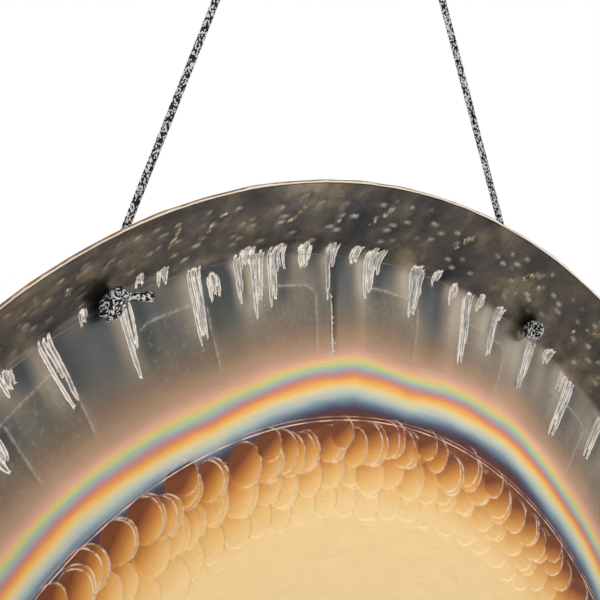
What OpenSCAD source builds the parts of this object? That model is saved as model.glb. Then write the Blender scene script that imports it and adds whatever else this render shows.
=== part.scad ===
// Tam tam gong hung by a knotted cord from a ceiling hook, in millimetres.
// The origin is the middle of the ceiling hook's top face, +Z is up, and -Y is the dished side
// of the gong, where the cord's two stopper knots are.

/* [Gong] */
// Outside diameter of the gong, a 32 inch tam tam
gong_d = 812.8; // [800:0.1:830]
// Thickness of the bronze sheet
sheet_t = 2; // [1.6:0.1:2.2]
// Diameter of the flat face, up to where the flange starts to bend
flat_d = 734; // [733:0.1:735]
// Radius of the bend, on its hollow side
bend_r = 12; // [11.6:0.1:12.4]
// Angle that the flange leans forward from the face
flange_angle = 45; // [44:0.5:46]
// Distance of the hollow side of the face behind the cord's plane
face_y = 2.5; // [2.4:0.1:2.6]
// Height of the hook's top face above the gong's centre
drop = 734; // [733.8:0.1:734.2]

/* [Cord holes] */
// Diameter of each cord hole
hole_d = 6.5; // [6.4:0.1:7]
// Angle of each hole from the top of the gong, seen from its centre
hole_at = 25.3; // [25.2:0.05:25.4]
// Angle of each hole's axis from the gong's own axis
hole_lean = 38.7; // [38:0.1:39]

/* [Cord] */
// Diameter of the braided cord
cord_d = 4; // [3.6:0.1:4]
// Radius of the cord's middle line where it turns over the hook
bight_r = 8; // [7.9:0.05:8.1]
// Diameter of the left stopper knot
left_knot_d = 14; // [12:0.5:14]
// Diameter of the right stopper knot
right_knot_d = 12; // [11:0.5:14]

/* [Ceiling hook] */
// Diameter of the hook's round plate
plate_d = 60; // [50:1:64]
// Thickness of the plate
plate_t = 4; // [3:0.5:5]
// Diameter of the bar that the hook is bent from
bar_d = 8; // [7:0.5:8]
// Radius of the hook's bend, at the middle of the bar
ring_r = 16; // [15:0.5:16]
// Diameter of the neck between the plate and the hook's bend
neck_d = 12; // [11:0.5:14]
// Diameter of the ball on the hook's tip
tip_d = 10; // [9.5:0.5:11]
// Diameter of each screw hole
screw_d = 5; // [4:0.5:6]
// Distance between the two screw holes
screw_gap = 38; // [34:1:40]

/* [Hidden] */
$fn = 96;

// Gong
gong_r = gong_d / 2;
flat_r = flat_d / 2;
edge_chamfer = 0.5;
rim_slant = (gong_r - flat_r - (bend_r + sheet_t - edge_chamfer) * sin(flange_angle)) / cos(flange_angle);
bend_steps = 9;
hole_mid_r = flat_r + (bend_r + sheet_t / 2) * sin(hole_lean);
hole_mid_y = face_y - bend_r + (bend_r + sheet_t / 2) * cos(hole_lean);

// Hook: its ring stands in the YZ plane, below the plate
ring_z = -30;
ring_from = -165;
ring_turn = 255;
plate_chamfer = 1;
countersink = 1.8;
neck_end = -20;
neck_flare = 2;

// Cord: the left leg, from the hole to the hook. The right leg is its mirror image.
cord_sides = 8;
leg_bend = [
    [-160.4, 0.9, -394.7], [-160.8, 2.7, -392.9], [-160.8, 3.5, -391.7], [-160.7, 4.2, -390.3],
    [-160.4, 4.7, -388.9], [-160.0, 5.0, -387.5], [-159.4, 5.1, -386.1]
];
leg_top = [-7.5, 0, -45.2];
leg_rings = 28;
leg_route = concat(
    leg_bend,
    [for (i = [1:leg_rings]) leg_bend[6] + (leg_top - leg_bend[6]) * i / leg_rings]
);
bight_z = -47.9;
bight_from = 27.2;
bight_rings = 12;
bight_route = [
    for (i = [0:bight_rings])
        let (a = 180 - bight_from - i * (180 - 2 * bight_from) / bight_rings)
            [bight_r * cos(a), 0, bight_z + bight_r * sin(a)]
];

// Knots: each sits against the hollow side of the sheet, and its neck enters the hole
neck_gap = 0.75;
knot_gap = 0.15;
left_tail = [0.93, -0.34, 0.12];
left_tail_l = 19;
left_tail_d = 5;
right_tail = [-0.80, -0.60, -0.07];
right_tail_l = 11;
right_tail_d = 4.6;

function unit(v) = v / norm(v);

// The direction of a route at one of its points
function heading(route, i) =
    unit(route[min(i + 1, len(route) - 1)] - route[max(i - 1, 0)]);

// One ring of a round tube, square to the route
function ring(route, i, r, side) =
    let (
        along = heading(route, i),
        u = unit(cross(along, side)),
        v = cross(along, u)
    )
    [for (k = [0:cord_sides - 1])
        route[i] + r * (cos(k * 360 / cord_sides) * u + sin(k * 360 / cord_sides) * v)];

// A round tube along a route. side is a direction that the route never runs in.
module tube(route, d, side) {
    last = len(route) - 1;
    polyhedron(
        points = [for (i = [0:last]) each ring(route, i, d / 2, side)],
        faces = concat(
            [[for (k = [0:cord_sides - 1]) k]],
            [for (i = [0:last - 1], k = [0:cord_sides - 1])
                let (n = (k + 1) % cord_sides)
                    [(i + 1) * cord_sides + k, (i + 1) * cord_sides + n, i * cord_sides + n, i * cord_sides + k]],
            [[for (k = [cord_sides - 1:-1:0]) last * cord_sides + k]]
        )
    );
}

// Turns +Z to point in the direction v
module along(v) {
    rotate([0, acos(v.z / norm(v)), atan2(v.y, v.x)]) children();
}

// Puts the gong's own axis along +Y through its centre
module at_gong() {
    translate([0, face_y, -drop]) rotate([-90, 0, 0]) children();
}

// Puts the origin in the middle of a cord hole, with +Z out of the back of the sheet.
// side is -1 for the left hole and 1 for the right.
module at_hole(side) {
    translate([0, 0, -drop])
        rotate([0, side * hole_at, 0])
            translate([0, hole_mid_y, hole_mid_r])
                rotate([hole_lean - 90, 0, 0])
                    children();
}

// The sheet's section: x is the distance from the gong's axis, y the distance behind the hollow face
module gong_section() {
    lean = [cos(flange_angle), -sin(flange_angle)];
    out = [sin(flange_angle), cos(flange_angle)];
    bend_mid = [flat_r, -bend_r];
    rim_in = bend_mid + bend_r * out + rim_slant * lean;
    rim_out = rim_in + sheet_t * out;
    polygon(concat(
        [[0, 0]],
        [for (i = [0:bend_steps]) let (a = i * flange_angle / bend_steps)
            bend_mid + bend_r * [sin(a), cos(a)]],
        [rim_in - edge_chamfer * lean, rim_in + edge_chamfer * out],
        [rim_out - edge_chamfer * out, rim_out - edge_chamfer * lean],
        [for (i = [bend_steps:-1:0]) let (a = i * flange_angle / bend_steps)
            bend_mid + (bend_r + sheet_t) * [sin(a), cos(a)]],
        [[0, sheet_t]]
    ));
}

module gong_disc() {
    color("darkgoldenrod") difference() {
        at_gong() rotate_extrude() gong_section();
        for (side = [-1, 1])
            at_hole(side) cylinder(d = hole_d, h = 5 * sheet_t, center = true);
    }
}

// A stopper knot with its neck in the hole and its cut tail
module knot(side, d, tail, tail_l, tail_d) {
    middle = -sheet_t / 2 - knot_gap - d / 2;
    at_hole(side) {
        translate([0, 0, middle]) sphere(d = d);
        translate([0, 0, middle]) cylinder(d = cord_d, h = -middle - neck_gap);
        // undo the hole's own turns, so that the tail's direction is in the part's frame
        translate([0, 0, middle])
            rotate([90 - hole_lean, 0, 0]) rotate([0, -side * hole_at, 0])
                along(tail) cylinder(d = tail_d, h = tail_l);
    }
}

module left_knot() {
    color("dimgray") knot(-1, left_knot_d, left_tail, left_tail_l, left_tail_d);
}

module right_knot() {
    color("dimgray") knot(1, right_knot_d, right_tail, right_tail_l, right_tail_d);
}

module cord_left_leg() {
    color("slategray") tube(leg_route, cord_d, [1, 0, 0]);
}

module cord_right_leg() {
    color("slategray") mirror([1, 0, 0]) tube(leg_route, cord_d, [1, 0, 0]);
}

module cord_bight() {
    color("slategray") tube(bight_route, cord_d, [0, 1, 0]);
}

module ceiling_hook() {
    color("silver") difference() {
        union() {
            translate([0, 0, -plate_t + plate_chamfer])
                cylinder(d = plate_d, h = plate_t - plate_chamfer);
            translate([0, 0, -plate_t])
                cylinder(d1 = plate_d - 2 * plate_chamfer, d2 = plate_d, h = plate_chamfer);
            translate([0, 0, -plate_t - neck_flare])
                cylinder(d1 = neck_d, d2 = neck_d + 2 * neck_flare, h = neck_flare);
            translate([0, 0, neck_end + neck_flare / 2]) cylinder(d = neck_d, h = -neck_end - plate_t - neck_flare);
            translate([0, 0, neck_end]) cylinder(d1 = neck_d - neck_flare, d2 = neck_d, h = neck_flare / 2);
            translate([0, 0, ring_z]) rotate([90, 0, 90]) {
                rotate([0, 0, ring_from]) rotate_extrude(angle = ring_turn)
                    translate([ring_r, 0]) circle(d = bar_d);
                translate(ring_r * [cos(ring_from), sin(ring_from), 0]) sphere(d = tip_d);
            }
        }
        for (side = [-1, 1]) translate([side * screw_gap / 2, 0, 0]) {
            translate([0, 0, -plate_t - 1]) cylinder(d = screw_d, h = plate_t + 2);
            translate([0, 0, -plate_t]) cylinder(d1 = screw_d + 2 * countersink, d2 = screw_d, h = countersink);
        }
    }
}

ceiling_hook();
cord_bight();
cord_left_leg();
cord_right_leg();
left_knot();
right_knot();
gong_disc();
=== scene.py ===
"""Looks of the tam tam gong: hammered, heat-tinted bronze on a braided cord, hung from a steel ceiling hook.

Lengths inside the builders are millimetres, and MM turns them into Blender's metres. Around the gong, an
angle is measured from its top, clockwise as seen from the hollow side, and a develop radius is the distance
from its centre along the sheet.
"""

import math

import bpy
import numpy as np
from mathutils import Matrix, Vector
from mathutils.geometry import delaunay_2d_cdt


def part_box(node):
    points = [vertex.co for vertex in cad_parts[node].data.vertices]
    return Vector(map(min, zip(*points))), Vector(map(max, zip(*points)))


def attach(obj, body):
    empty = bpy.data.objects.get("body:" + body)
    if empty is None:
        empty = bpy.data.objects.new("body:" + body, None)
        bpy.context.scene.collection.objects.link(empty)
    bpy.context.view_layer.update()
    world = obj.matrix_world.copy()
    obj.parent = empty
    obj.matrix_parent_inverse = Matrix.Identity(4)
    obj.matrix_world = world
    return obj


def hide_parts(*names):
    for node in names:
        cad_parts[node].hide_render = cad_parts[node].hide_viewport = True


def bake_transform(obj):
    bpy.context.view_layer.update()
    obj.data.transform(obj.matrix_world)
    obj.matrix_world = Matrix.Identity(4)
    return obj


MM = 0.001
SEED = 20
FRONT_SEED = 3
BACK_SEED = 11

# Gong, as in the design
SHEET = 2.0
FLAT_R = 367.0
BEND_R = 12.0
LEAN = math.radians(45)
HOLE_D = 6.5
HOLE_AT = math.radians(25.3)
HOLE_LEAN = math.radians(38.7)

# Cord, as in the design
CORD_D = 4.0
LEG_BEND = [
    (-160.4, 0.9, -394.7), (-160.8, 2.7, -392.9), (-160.8, 3.5, -391.7), (-160.7, 4.2, -390.3),
    (-160.4, 4.7, -388.9), (-160.0, 5.0, -387.5), (-159.4, 5.1, -386.1),
]
LEG_TOP = (-7.5, 0, -45.2)
BIGHT_R = 8.0
BIGHT_Z = -47.9
BIGHT_FROM = math.radians(27.2)
BIGHT_RINGS = 12
LEG_RINGS = 28
KNOT_GAP = 0.15

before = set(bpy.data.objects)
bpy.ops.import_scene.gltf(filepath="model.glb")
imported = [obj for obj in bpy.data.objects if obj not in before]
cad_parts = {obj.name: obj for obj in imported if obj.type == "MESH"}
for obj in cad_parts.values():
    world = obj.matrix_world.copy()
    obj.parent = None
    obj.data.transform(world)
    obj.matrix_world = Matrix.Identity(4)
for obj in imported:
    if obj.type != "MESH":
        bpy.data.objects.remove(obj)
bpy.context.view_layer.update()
gong_low, gong_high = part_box("gong_disc")
GONG_Z = (gong_low.z + gong_high.z) / 2 / MM
FACE_Y = gong_high.y / MM - SHEET
RIM_R = (gong_high.x - gong_low.x) / 2 / MM


# ---------------------------------------------------------------- camera, light and floor


def add_to_scene(name, data):
    thing = bpy.data.objects.new(name, data)
    bpy.context.scene.collection.objects.link(thing)
    return thing


def make_camera():
    """The camera stands low in front of the gong's hollow side, to its left, and sees its top edge."""
    from_gong = Vector((-579.6, -552.0, 276.6))
    yaw, pitch, roll = (math.radians(a) for a in (44.56, 5.05, 0.25))
    data = bpy.data.cameras.new("camera")
    data.lens = 90
    data.sensor_width = 36
    data.clip_start = 0.01
    data.clip_end = 50
    camera = add_to_scene("camera", data)
    turn = Matrix.Rotation(-yaw, 4, "Z") @ Matrix.Rotation(math.pi / 2 + pitch, 4, "X")
    place = (Vector((0, FACE_Y, GONG_Z)) + from_gong) * MM
    camera.matrix_world = Matrix.Translation(place) @ turn @ Matrix.Rotation(roll, 4, "Z")
    bpy.context.scene.camera = camera


def area_light(name, place, aim, size, glow):
    """A soft rectangular light. glow is its brightness, with the white surroundings at 1."""
    data = bpy.data.lights.new(name, "AREA")
    data.shape = "RECTANGLE"
    data.size, data.size_y = size
    data.energy = glow * math.pi * size[0] * size[1]
    light = add_to_scene(name, data)
    light.location = place
    light.rotation_euler = (Vector(aim) - Vector(place)).to_track_quat("-Z", "Y").to_euler()
    light.visible_camera = False


# The soft window: where it lies, how wide it is, and its brightness over the rest of the studio
WINDOW_WAY = (0.78, -0.62, 0.05)
WINDOW_EDGE = math.cos(math.radians(38))
WINDOW_CORE = math.cos(math.radians(10))
WINDOW_GLOW = 0.8
STUDIO_GLOW = 0.42
FLOOR_DROP = 0.56
FLOOR_SIZE = 40


def make_surroundings():
    """White behind the gong; in front of it a dimmer studio with one broad soft window to the right."""
    world = bpy.data.worlds.new("studio")
    bpy.context.scene.world = world
    world.use_nodes = True
    nodes = Nodes(world.node_tree)
    way = nodes.coordinates("Generated")
    _, depth, height = nodes.split(way)
    front = nodes.step(depth, 0.25, -0.25)
    window = nodes.vector("DOT_PRODUCT", way, WINDOW_WAY)
    window = nodes.step(window, WINDOW_EDGE, WINDOW_CORE, 0.0, WINDOW_GLOW)
    ceiling = nodes.step(height, 0.25, 0.8, 0.0, 0.35)
    glow = front * (window + ceiling + STUDIO_GLOW) + (1.0 - front)
    background = world.node_tree.nodes["Background"]
    nodes.join(glow, background.inputs["Strength"])
    nodes.join((1, 1, 1), background.inputs["Color"])


def make_stage():
    """Soft surroundings and lights, and a pale floor below the gong."""
    bpy.context.scene.view_settings.view_transform = "Standard"
    make_surroundings()
    floor_z = GONG_Z * MM - FLOOR_DROP
    bpy.ops.mesh.primitive_plane_add(size=FLOOR_SIZE, location=(0, 0, floor_z))
    floor = bpy.context.object
    floor.name = "floor"
    paint = Paint("pale_floor")
    shade = paint.noise(paint.coordinates("Object"), 3, detail=3)
    paint.surface(paint.mix(shade, (0.86, 0.86, 0.86), (0.9, 0.9, 0.9)), roughness=0.7)
    floor.data.materials.append(paint.material)

    gong_top = (0, 0, GONG_Z * MM + 0.35)
    area_light("key", (-1.7, -2.3, 1.0), gong_top, (1.2, 1.0), 2.5)
    area_light("low", (1.5, -0.1, floor_z + 0.15), gong_top, (0.4, 0.4), 5)
    area_light("back", (1.0, 2.6, 0.5), gong_top, (1.6, 1.2), 2)


# ---------------------------------------------------------------- materials


class Value:
    """A node's output. Arithmetic on it adds math nodes to its tree."""

    def __init__(self, nodes, socket):
        self.nodes = nodes
        self.socket = socket

    def __add__(self, other):
        return self.nodes.math("ADD", self, other)

    def __sub__(self, other):
        return self.nodes.math("SUBTRACT", self, other)

    def __rsub__(self, other):
        return self.nodes.math("SUBTRACT", other, self)

    def __mul__(self, other):
        return self.nodes.math("MULTIPLY", self, other)

    def __mod__(self, other):
        return self.nodes.math("MODULO", self, other)

    def __abs__(self):
        return self.nodes.math("ABSOLUTE", self)

    __radd__ = __add__
    __rmul__ = __mul__


class Nodes:
    """A node tree, with a short call for each kind of node it uses. Each takes values, plain numbers or
    colours, and returns a value."""

    def __init__(self, tree):
        self.tree = tree

    def node(self, kind, **settings):
        node = self.tree.nodes.new("ShaderNode" + kind)
        for name, setting in settings.items():
            setattr(node, name, setting)
        return node

    def join(self, value, socket):
        if isinstance(value, Value):
            self.tree.links.new(value.socket, socket)
        elif isinstance(value, (tuple, list)) and len(value) < len(socket.default_value):
            socket.default_value = (*value, 1)
        else:
            socket.default_value = value

    def feed(self, node, **values):
        """Joins values to the inputs of those names, with _ for a space."""
        for name, value in values.items():
            self.join(value, node.inputs[name.replace("_", " ")])

    def math(self, operation, a, b=0.0, clamp=False):
        node = self.node("Math", operation=operation, use_clamp=clamp)
        self.join(a, node.inputs[0])
        self.join(b, node.inputs[1])
        return Value(self, node.outputs[0])

    def vector(self, operation, a, b=(0, 0, 0)):
        node = self.node("VectorMath", operation=operation)
        self.join(a, node.inputs[0])
        self.join(b, node.inputs["Scale" if operation == "SCALE" else 1])
        return Value(self, node.outputs["Value" if operation in ("LENGTH", "DOT_PRODUCT") else "Vector"])

    def split(self, vector):
        node = self.node("SeparateXYZ")
        self.join(vector, node.inputs[0])
        return [Value(self, socket) for socket in node.outputs]

    def combine(self, x, y, z):
        node = self.node("CombineXYZ")
        self.feed(node, X=x, Y=y, Z=z)
        return Value(self, node.outputs[0])

    def coordinates(self, kind):
        return Value(self, self.node("TexCoord").outputs[kind])

    def attribute(self, name):
        return Value(self, self.node("Attribute", attribute_name=name).outputs["Fac"])

    def noise(self, vector, scale, detail=2, rough=0.5, stretch=None):
        node = self.node("TexNoise")
        if stretch:
            vector = self.vector("MULTIPLY", vector, stretch)
        self.feed(node, Vector=vector, Scale=scale, Detail=detail, Roughness=rough)
        return Value(self, node.outputs["Fac"])

    def step(self, value, low, high, out_low=0.0, out_high=1.0):
        """A smooth rise from out_low to out_high as value goes from low to high."""
        node = self.node("MapRange", interpolation_type="SMOOTHSTEP")
        self.feed(node, Value=value, From_Min=low, From_Max=high, To_Min=out_low, To_Max=out_high)
        return Value(self, node.outputs[0])

    def ramp(self, value, stops):
        """Colours along value: stops are (value, colour)."""
        low, high = stops[0][0], stops[-1][0]
        node = self.node("ValToRGB")
        self.join(self.math("DIVIDE", value - low, high - low, clamp=True), node.inputs[0])
        elements = node.color_ramp.elements
        elements.remove(elements[1])
        elements[0].position = 0
        elements[0].color = (*linear(stops[0][1]), 1)
        for place, colour in stops[1:]:
            elements.new((place - low) / (high - low)).color = (*linear(colour), 1)
        return Value(self, node.outputs["Color"])

    def mix(self, share, a, b):
        node = self.node("Mix", data_type="RGBA", blend_type="MIX")
        for value, socket in ((share, node.inputs[0]), (a, node.inputs[6]), (b, node.inputs[7])):
            self.join(value, socket)
        return Value(self, node.outputs[2])

    def bump(self, height, distance, strength=1.0):
        node = self.node("Bump")
        self.feed(node, Distance=distance, Strength=strength, Height=height)
        return Value(self, node.outputs[0])


class Paint(Nodes):
    """A material's nodes, with its Principled shader."""

    def __init__(self, name):
        self.material = bpy.data.materials.new(name)
        self.material.use_nodes = True
        super().__init__(self.material.node_tree)

    def surface(self, colour, roughness, metallic=0.0, normal=None):
        shader = self.tree.nodes["Principled BSDF"]
        self.feed(shader, Base_Color=colour, Roughness=roughness, Metallic=metallic)
        if normal:
            self.feed(shader, Normal=normal)


def linear(code):
    """A colour written as six hexadecimal digits, as linear light."""
    parts = (int(code[i:i + 2], 16) / 255 for i in (0, 2, 4))
    return tuple(p / 12.92 if p <= 0.04045 else ((p + 0.055) / 1.055) ** 2.4 for p in parts)


# Colours of the oxide from the gong's middle outwards, by radius in millimetres where the heat ring is widest
OXIDE = [
    (150, "f6d9a4"), (238, "fbd79c"), (250, "f4c47e"), (262, "e0a055"), (270, "c07b3a"), (277, "9a5a33"),
    (282, "70402a"), (286, "5e3a33"), (289, "504450"), (291, "5c6475"), (293.5, "82949e"), (296, "b2bdb8"),
    (298.5, "d0cdb3"), (301, "ead08f"), (303.5, "f3b45c"), (305.5, "e3925f"), (307.5, "c38a86"),
    (309.5, "aaa5ab"), (311.5, "aec39c"), (313.5, "d3c983"), (315.5, "e8bb84"), (318, "d8a58c"),
    (322, "b8947a"), (328, "a3866c"), (336, "897564"), (348, "767064"), (364, "706a60"), (371, "5a554c"),
    (380, "4e4a43"), (402, "4a443c"),
]

# Colours of the outer face by its tone, of the flange by its mottle, of the brassy marks by their grain, and
# of the rolled lip from the hollow side to the back
RAYS = [(0.7, "4b4e50"), (0.85, "5c5e60"), (1.0, "726d66"), (1.2, "928675"), (1.5, "b6a896")]
MOTTLE = [(0, "232426"), (0.35, "3c3a38"), (0.65, "50483f"), (1, "776a55")]
BRASS = [(0, "4a3826"), (0.4, "94795a"), (0.75, "cdb592"), (1, "f6e3c4")]
LIP = [(0, "9a8674"), (0.12, "efe0cc"), (0.3, "f5e6d2"), (0.42, "a87f5e"), (0.7, "7a553c"), (1, "4a362a")]

# Turned lines on the face: radius, half width, colour and how strongly they show
TURNED_LINES = [(370.6, 0.4, "9c8a78", 0.55), (285.2, 0.4, "c99a8a", 0.85), (283.3, 0.45, "f6cdb4", 0.95)]

# Radii over which a struck disc's own tint fades out, and over which the flange's mottle begins. A disc's
# tint is never that of a radius past the first.
STRUCK_TINT = (281.0, 286.0)
FLANGE_STARTS = (369, 374)


class Bronze(Paint):
    """Bronze with a grown oxide: dark and hammered outside, a heat ring, then gold in the middle. The marks
    come from the mesh's own attributes, and break up along fine scratches here. Each method lays one kind of
    mark over the colour so far."""

    def __init__(self):
        super().__init__("bronze")
        self.centred = self.vector("SUBTRACT", self.coordinates("Object"), (0, FACE_Y * MM, GONG_Z * MM))
        x, _, z = self.split(self.centred)
        flat = self.combine(x, z, 0.0)
        self.radius = self.vector("LENGTH", flat) * (1 / MM)
        way_x, way_z, _ = self.split(self.vector("NORMALIZE", flat))
        # noise in the first space runs in streaks along the spokes, and in the second round the gong
        self.spokes = self.combine(way_x, way_z, self.radius * 0.0004)
        self.polar = self.combine(way_x, way_z, self.radius * 0.01)
        self.flange = self.step(self.radius, *FLANGE_STARTS)
        self.streak = self.noise(self.spokes, 420, detail=3, rough=0.6)
        self.grain = self.noise(self.centred, 330, detail=3, rough=0.65)
        self.colour = None

    def lay(self, share, colour):
        """Covers the bronze with a colour where share is 1."""
        self.colour = self.mix(share, self.colour, colour)

    def light(self, by):
        """Makes the bronze lighter or darker."""
        self.colour = self.vector("SCALE", self.colour, by)

    def oxide(self):
        """The heat tint. Each struck disc has a tint of its own, shifted across it as painted shade: darker
        on one side and lighter on the other.
        """
        shift = self.attribute("ring_shift")
        tint = self.radius - shift
        struck = self.radius - 0.3 * shift + self.attribute("disc_shade_tint") + 1.5
        struck = self.math("MINIMUM", struck, STRUCK_TINT[0])
        on_disc = self.attribute("on_disc") * self.step(self.radius, *reversed(STRUCK_TINT))
        tint = tint + (struck - tint) * on_disc
        self.colour = self.ramp(tint + 4 * (self.noise(self.polar, 9) - 0.5), OXIDE)

    def outer_face(self):
        """Light and dark rays, partly the oxide's own tone and partly painted reflection bands, blue-grey
        where dark and beige where light, and the mottled flange, made lighter and darker by the same tone.
        """
        tone = self.attribute("tone")
        near_ring = self.step(self.radius, 312, 330, 0.0, 0.4)
        self.light((tone - 1.1) * near_ring + 1.0)
        rays = tone + 0.4 * (self.noise(self.spokes, 30) - 0.5)
        self.lay(self.step(self.radius, 328, 356, 0.0, 0.85), self.ramp(rays, RAYS))
        mottle = self.noise(self.centred, 34, detail=5, rough=0.62)
        mottled = self.ramp(self.step(mottle, 0.28, 0.72), MOTTLE)
        self.lay(self.flange * 0.92, self.vector("SCALE", mottled, tone * 0.35 + 0.62))

    def brushed_lines(self):
        """Lines that were brushed round the gong. Returns their height."""
        brushed = self.noise(self.polar, 1.0, stretch=(7, 7, 190))
        fine = self.noise(self.polar, 1.0, detail=1, stretch=(22, 22, 700))
        self.light((brushed - 0.5) * 0.24 + 1.0)
        return (fine + brushed) * 0.5

    def scratched_patches(self):
        """Square patches of cross scratches, with a lighter edge. Returns their roughness and height."""
        scratch = self.noise(self.centred, 300, detail=4, rough=0.7)
        patch = self.attribute("patch")
        self.lay(patch * 0.5, self.vector("SCALE", self.colour, 0.8))
        ridge = self.attribute("ridge") * self.step(scratch, 0.35, 0.6, 0.25, 1.4)
        rough = self.math("MAXIMUM", ridge, patch * self.step(scratch, 0.5, 0.75, 0.0, 0.5))
        self.lay(rough * 0.55, linear("c6baa6"))
        return rough, patch * scratch

    def scrapes(self):
        """Scraped metal in streaks along the spokes, over the dark of the scrape. Returns the bare metal."""
        scrape = self.attribute("scrape")
        cover = scrape + 0.8 * (self.streak - 0.5) + 0.7 * (self.grain - 0.5)
        bare = self.step(cover, 0.22, 0.5) * self.step(scrape, 0.05, 0.25)
        self.lay(scrape * 0.45, linear("2f2c29"))
        inner = self.mix(self.step(self.streak, 0.38, 0.62), linear("77787a"), linear("e4dfd6"))
        border = self.mix(self.step(self.streak, 0.45, 0.6), linear("fffaf0"), linear("f6ddc6"))
        inside = self.step(scrape, 0.55, 0.85)
        bare = bare * self.step(self.streak, 0.3, 0.42, 0.45, 1.0) * (1.0 - 0.3 * inside)
        self.lay(bare, self.mix(inside * 0.95, border, inner))
        return bare

    def blow_rim_highlights(self):
        """Bright rims of the hammer blows, broken here and there: partly bare metal at the cut and partly a
        painted highlight. Returns the bare metal.
        """
        gaps = self.noise(self.centred, 190, detail=3, rough=0.7)
        bare = self.attribute("line") * self.step(gaps, 0.36, 0.56, 0.15, 1.0)
        self.lay(bare, linear("ffe3c6"))
        return bare

    def dimples(self):
        """Painted highlights on the upper sides of the flange's dimples."""
        self.lay(self.attribute("dimple") * self.step(self.grain, 0.35, 0.65, 0.4, 1.0), linear("c6bbab"))

    def brassy_marks(self):
        """Scored marks on the flange, in streaks. Returns the bare metal."""
        gold = self.attribute("gold")
        bare = self.step(gold + 2.4 * (self.streak - 0.5), 0.5, 0.85)
        self.lay(bare * self.step(gold, 0.05, 0.2), self.ramp(self.step(self.grain, 0.3, 0.7), BRASS))
        return bare

    def turned_lines(self):
        """One line at the foot of the flange, and two at the edge of the hammered middle."""
        for at, half, shade, show in TURNED_LINES:
            worn = self.step(self.noise(self.spokes, 30), 0.35, 0.6, 0.3 * show, show)
            self.lay(self.step(abs(self.radius - at), half, half * 0.4) * worn, linear(shade))

    def rolled_lip(self):
        """The rim's lip, worn bright towards the hollow side."""
        lip = self.attribute("lip")
        worn = self.step(self.noise(self.centred, 90, detail=3), 0.35, 0.65)
        self.lay(self.step(lip, 0.01, 0.1), self.ramp(lip + 0.16 * (worn - 0.5), LIP))


def bronze_paint():
    """The gong's metal, from the oxide up to the bare marks that lie over it."""
    paint = Bronze()
    paint.oxide()
    paint.outer_face()
    height = paint.brushed_lines()
    patch_rough, patch_height = paint.scratched_patches()
    scraped, rims = paint.scrapes(), paint.blow_rim_highlights()
    paint.dimples()
    bare = paint.math("MAXIMUM", scraped, paint.math("MAXIMUM", rims, paint.brassy_marks()))
    paint.turned_lines()
    paint.rolled_lip()
    rough = 0.34 - 0.04 * paint.flange + 0.06 * bare + 0.12 * patch_rough
    pits = paint.noise(paint.centred, 700, detail=3, rough=0.6)
    height = height + 2.2 * (bare * paint.grain) + 1.5 * patch_height + 1.5 * (paint.flange * pits)
    paint.surface(paint.colour, rough, 0.93, paint.bump(height, 0.00006))
    return paint.material


def speckle(paint, first, second):
    """1 for the yarn cells that chance makes white, and 0 for the rest."""
    node = paint.node("TexWhiteNoise", noise_dimensions="2D")
    paint.feed(node, Vector=paint.combine(first, second, 0.0))
    return paint.math("LESS_THAN", Value(paint, node.outputs["Value"]), WHITE_SHARE)


def braid_paint():
    """Black and white speckled yarns, plaited. The mesh's UV map runs once round the cord and, in yarn cells,
    along it."""
    paint = Paint("braided_cord")
    around, along, _ = paint.split(Value(paint, paint.node("UVMap", uv_map="lay").outputs[0]))
    left, right = around * YARNS + along, around * YARNS - along
    left_cell, right_cell = paint.math("FLOOR", left), paint.math("FLOOR", right)
    left_on_top = (left_cell + right_cell + ABOVE_ZERO) % 2
    left_white = speckle(paint, (left_cell + ABOVE_ZERO) % YARNS, right_cell)
    right_white = speckle(paint, left_cell, (right_cell + ABOVE_ZERO) % YARNS)
    white = left_on_top * left_white + (1.0 - left_on_top) * right_white
    off_left = abs(paint.math("FRACT", left) - 0.5)
    off_right = abs(paint.math("FRACT", right) - 0.5)
    groove = paint.step(left_on_top * off_left + (1.0 - left_on_top) * off_right, 0.38, 0.5)
    fibre = paint.noise(paint.coordinates("Object"), 1800)
    pale = paint.mix(fibre, linear("eceae4"), linear("ffffff"))
    dark = paint.mix(fibre, linear("020202"), linear("161515"))
    colour = paint.mix(white, dark, pale)
    # painted shade in the grooves between the yarns
    colour = paint.mix(groove * 0.6, colour, linear("080808"))
    colour = paint.mix(paint.attribute("fused"), colour, linear("121110"))
    paint.surface(colour, 0.7, 0.0, paint.bump(fibre - groove * 1.5, 0.0002, 0.7))
    return paint.material


def steel_paint():
    """Zinc-plated steel: soft spangles, fine wear and a little dust in its tint."""
    paint = Paint("zinc_steel")
    place = paint.coordinates("Object")
    spangle = paint.noise(place, 160, detail=4, rough=0.6)
    wear = paint.noise(place, 900, detail=3)
    colour = paint.mix(paint.step(spangle, 0.35, 0.65), linear("a9abac"), linear("cfd0cf"))
    colour = paint.mix(wear * 0.3, colour, linear("8c8a85"))
    rough = paint.step(spangle, 0.3, 0.7, 0.28, 0.45)
    paint.surface(colour, rough, 0.95, paint.bump(wear, 0.0001, 0.5))
    return paint.material


# ---------------------------------------------------------------- cord and knots

YARNS = 14
WHITE_SHARE = 0.44
# Added to the numbers of the yarn cells, so that none is below 0
ABOVE_ZERO = 4000
YARN_STEP = 1.4
SIDES = 36
RING_STEP = 0.55
BRAID_DEPTH = 0.14
KNOT_TURNS = 5.2
KNOT_STEPS = 70
KNOT_CONE = math.radians(56)
KNOT_ROUND = 0.93
KNOT_FLAT = 0.72
KNOT_WAVER = 0.35
KNOT_STEP = 0.35
TAIL_SWELL_END = 6.0
TAIL_ROUNDING = 1.6


def run_along(route):
    """The length of a route from its start to each of its points."""
    return np.concatenate([[0], np.cumsum(np.linalg.norm(np.diff(route, axis=0), axis=1))])


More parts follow.
